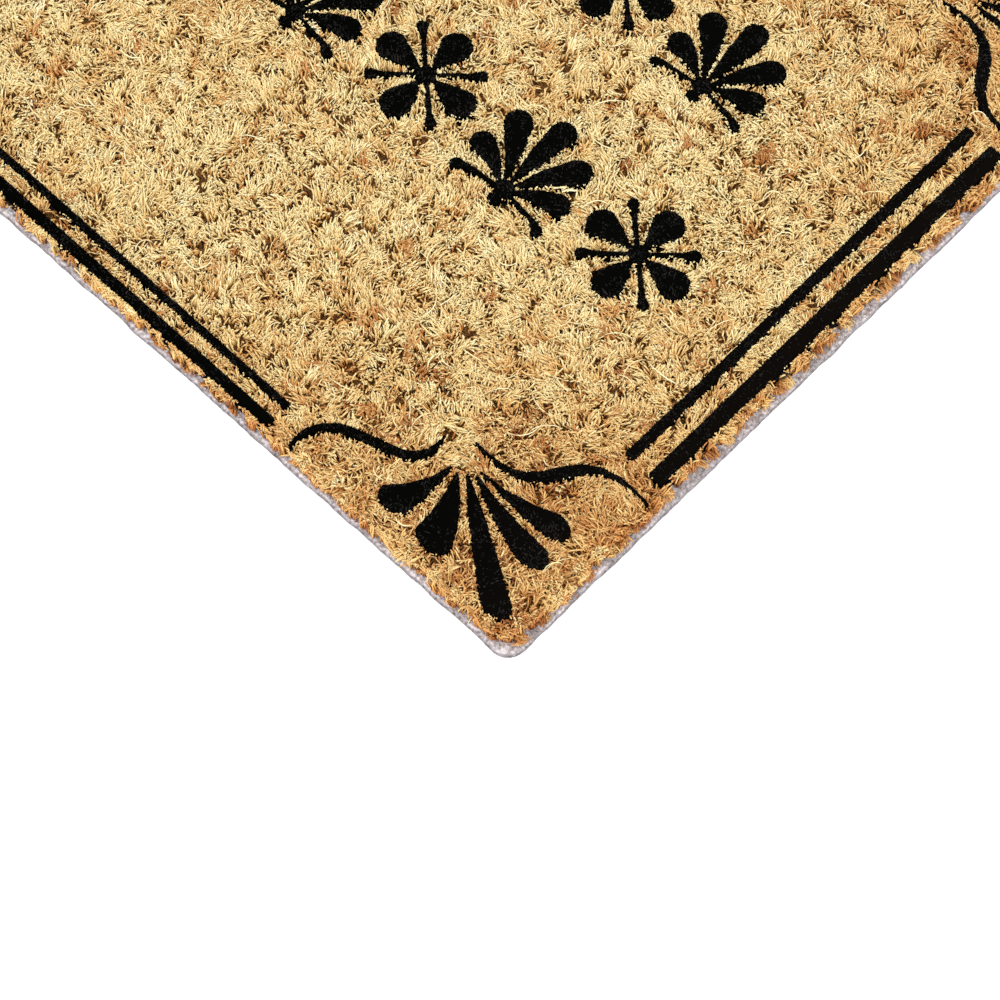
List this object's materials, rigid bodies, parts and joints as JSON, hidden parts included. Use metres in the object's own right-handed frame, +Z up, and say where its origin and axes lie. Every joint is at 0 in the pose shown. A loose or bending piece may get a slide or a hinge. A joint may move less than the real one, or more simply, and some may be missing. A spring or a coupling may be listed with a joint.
{
  "type": "door mat",
  "caption": "Flat rectangular coir door mat: fibre pile on a vinyl backing, with a black double-line border, corner palmettes and rows of ornaments.",
  "frame": {"origin": "centre of the underside, on the floor", "axes": "+X along the long sides, +Y from the front long side to the back one (the ornaments' own up), +Z up"},
  "size_m": [0.6, 0.4, 0.015],
  "materials": {
    "backing": "matte, slightly fibrous",
    "natural_coir": "coarse upright fibre",
    "dyed_coir": "coarse upright fibre, dyed black"
  },
  "bodies": {
    "root": {"back_left_petal_1": "dyed_coir", "back_left_petal_2": "dyed_coir", "back_left_petal_3": "dyed_coir", "back_left_petal_4": "dyed_coir", "back_left_petal_5": "dyed_coir", "back_left_scroll_along_end": "dyed_coir", "back_left_scroll_along_side": "dyed_coir", "back_right_petal_1": "dyed_coir", "back_right_petal_2": "dyed_coir", "back_right_petal_3": "dyed_coir", "back_right_petal_4": "dyed_coir", "back_right_petal_5": "dyed_coir", "back_right_scroll_along_end": "dyed_coir", "back_right_scroll_along_side": "dyed_coir", "backing_sheet": "backing", "coir_pile": "natural_coir", "front_left_petal_1": "dyed_coir", "front_left_petal_2": "dyed_coir", "front_left_petal_3": "dyed_coir", "front_left_petal_4": "dyed_coir", "front_left_petal_5": "dyed_coir", "front_left_scroll_along_end": "dyed_coir", "front_left_scroll_along_side": "dyed_coir", "front_right_petal_1": "dyed_coir", "front_right_petal_2": "dyed_coir", "front_right_petal_3": "dyed_coir", "front_right_petal_4": "dyed_coir", "front_right_petal_5": "dyed_coir", "front_right_scroll_along_end": "dyed_coir", "front_right_scroll_along_side": "dyed_coir", "inner_line_back": "dyed_coir", "inner_line_front": "dyed_coir", "inner_line_left": "dyed_coir", "inner_line_right": "dyed_coir", "lower_ornament_1": "dyed_coir", "lower_ornament_2": "dyed_coir", "lower_ornament_3": "dyed_coir", "lower_ornament_4": "dyed_coir", "lower_ornament_5": "dyed_coir", "lower_ornament_6": "dyed_coir", "lower_ornament_7": "dyed_coir", "lower_ornament_8": "dyed_coir", "outer_line_back": "dyed_coir", "outer_line_front": "dyed_coir", "outer_line_left": "dyed_coir", "outer_line_right": "dyed_coir", "upper_ornament_1": "dyed_coir", "upper_ornament_2": "dyed_coir", "upper_ornament_3": "dyed_coir", "upper_ornament_4": "dyed_coir", "upper_ornament_5": "dyed_coir", "upper_ornament_6": "dyed_coir", "upper_ornament_7": "dyed_coir"}
  },
  "joints": []
}
